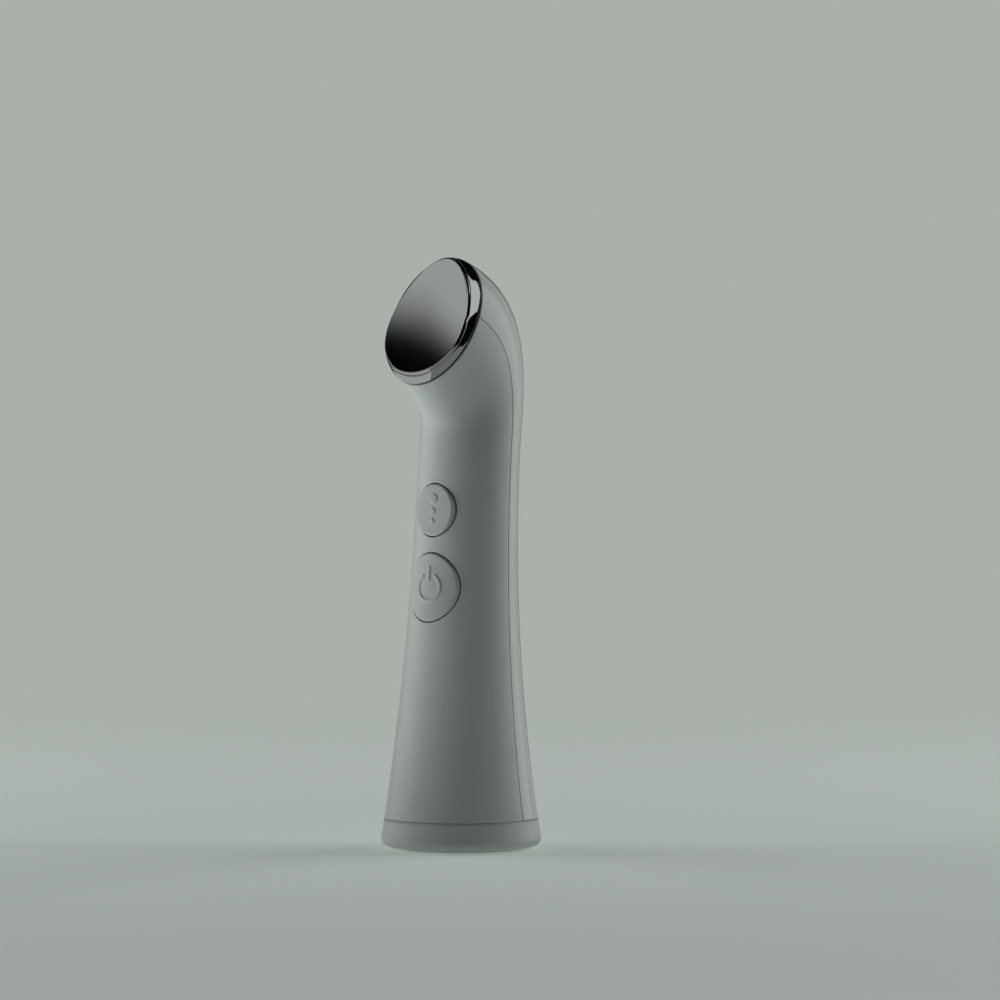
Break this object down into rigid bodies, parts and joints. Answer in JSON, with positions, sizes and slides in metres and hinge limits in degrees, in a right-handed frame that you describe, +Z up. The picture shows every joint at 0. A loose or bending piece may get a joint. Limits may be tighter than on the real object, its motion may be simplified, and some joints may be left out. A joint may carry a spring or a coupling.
{
  "type": "skincare wand",
  "caption": "Rechargeable skincare wand: waisted handle on a round foot, two press buttons, a forward-bent head with a heated, vibrating polished plate.",
  "frame": {"origin": "centre of the foot pad's flat underside", "axes": "+Z up the handle, -Y to the front, where the plate and the buttons are, +X to the wand's left side as it faces the viewer's right"},
  "size_m": [0.0448, 0.0448, 0.165],
  "materials": {
    "shell": "pale cool grey moulded plastic, softly glossy",
    "button": "pale cool grey moulded plastic, satin",
    "foot": "matt grey silicone rubber",
    "chrome": "mirror-bright chrome plating",
    "plate": "polished plated metal",
    "gasket": "black silicone rubber",
    "foam": "off-white silicone foam",
    "frame": "black moulded nylon",
    "plunger": "white moulded plastic",
    "chip": "black epoxy",
    "ferrite": "dark ferrite",
    "board": "green lacquered circuit board",
    "steel": "bright zinc-plated steel",
    "nickel": "nickel-plated sheet",
    "motor": "drawn steel can",
    "brass": "sintered heavy metal, brass coloured",
    "heater": "ceramic disc in amber film",
    "cell": "blue shrink film over a steel can",
    "lead_red": "red silicone insulation",
    "lead_black": "black silicone insulation",
    "lead_white": "white silicone insulation"
  },
  "bodies": {
    "handle": {"front_shell": "shell", "rear_shell": "shell", "base_cap": "shell", "foot_pad": "foot", "inner_frame": "frame", "base_screw_left": "steel", "base_screw_right": "steel", "head_gasket": "gasket", "head_ring": "chrome", "contact_plate": "plate", "insulator_pad": "foam", "head_backplate": "frame", "head_screw_lower": "steel", "head_screw_upper": "steel", "heater_disc": "heater", "temperature_sensor": "chip", "power_switch": "chip", "mode_switch": "chip", "main_board": "board", "controller_chip": "chip", "charge_chip": "chip", "boost_coil": "ferrite", "battery_connector": "plunger", "status_light": "plunger", "board_screw_left": "steel", "board_screw_right": "steel", "board_screw_top": "steel", "battery_cell": "cell", "battery_tab_positive": "nickel", "battery_tab_negative": "nickel", "vibration_motor": "motor", "motor_boot": "gasket", "charging_socket": "nickel", "charging_board": "board", "battery_lead_positive": "lead_red", "battery_lead_negative": "lead_black", "charge_lead": "lead_white", "motor_lead": "lead_white", "heater_lead": "lead_white", "sensor_lead": "lead_white"},
    "power_key": {"power_button": "button", "power_plunger": "plunger"},
    "mode_key": {"mode_button": "button", "mode_plunger": "plunger"},
    "rotor": {"motor_shaft": "steel", "motor_weight": "brass"}
  },
  "joints": [
    {"name": "power_press", "type": "slide", "parent": "handle", "child": "power_key", "axis": [0, 0.9963, -0.0858], "range_m": [0, 0.0008], "stiffness_N_per_m": 1500, "springref_m": -0.0002},
    {"name": "mode_press", "type": "slide", "parent": "handle", "child": "mode_key", "axis": [0, 0.9963, -0.0858], "range_m": [0, 0.0008], "stiffness_N_per_m": 1500, "springref_m": -0.0002},
    {"name": "motor_spin", "type": "hinge", "parent": "handle", "child": "rotor", "pos_m": [0, 0.00632, 0.12433], "axis": [0, 0.0858, 0.9963], "continuous": true}
  ]
}
